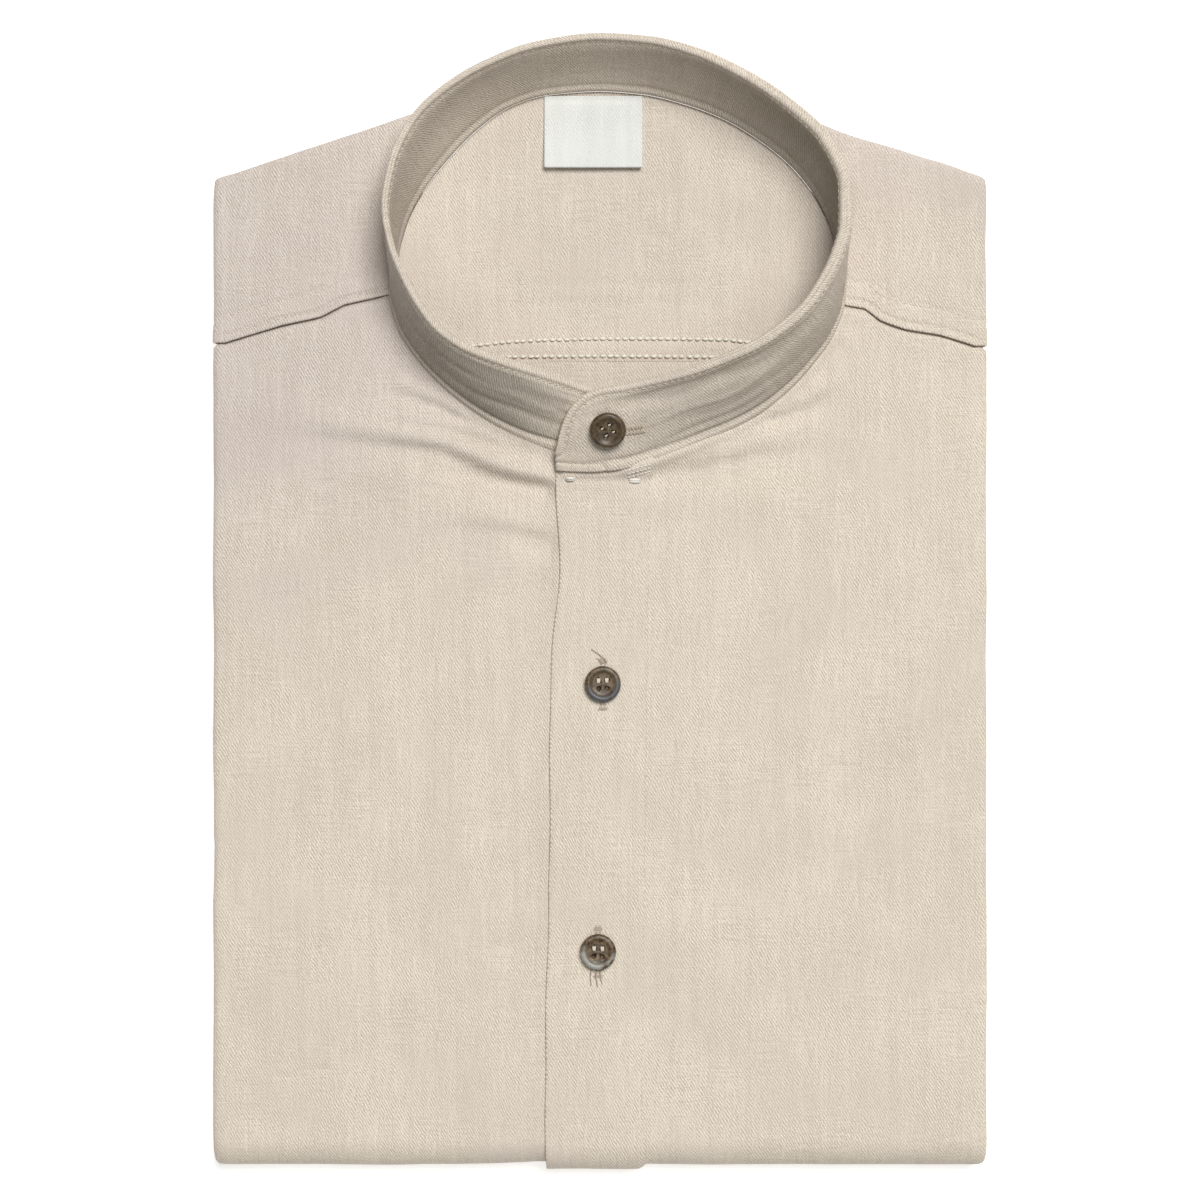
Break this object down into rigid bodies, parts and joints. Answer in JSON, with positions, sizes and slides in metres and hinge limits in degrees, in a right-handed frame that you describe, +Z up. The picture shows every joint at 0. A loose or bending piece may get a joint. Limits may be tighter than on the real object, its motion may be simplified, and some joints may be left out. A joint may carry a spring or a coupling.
{
  "type": "folded mandarin collar shirt",
  "caption": "Long-sleeved shirt with a buttoned band collar, folded flat for a shelf and doubled under itself, lying on its back with the neck open.",
  "frame": {"origin": "on the surface, under the middle of the folded shirt's box", "axes": "+Z up from the surface, +Y toward the collar, +X toward the wearer's left side"},
  "size_m": [0.2452, 0.3582, 0.044],
  "materials": {
    "cloth": "plain undyed linen-cotton twill with fine slubs, matt",
    "collar_cloth": "the same twill, firm with interfacing",
    "lining_cloth": "the same twill, wrong side of the garment",
    "label": "woven off-white label, bare",
    "button": "brown horn look, semi-gloss, four holes"
  },
  "bodies": {
    "root": {"right_front": "cloth", "left_front": "cloth", "placket": "cloth", "yoke": "cloth", "yoke_lining": "lining_cloth", "back": "lining_cloth", "collar_outer": "collar_cloth", "collar_inner": "collar_cloth", "neck_label": "label", "folded_layers": "cloth", "front_button_1": "button", "front_button_2": "button", "collar_button": "button"}
  },
  "joints": []
}
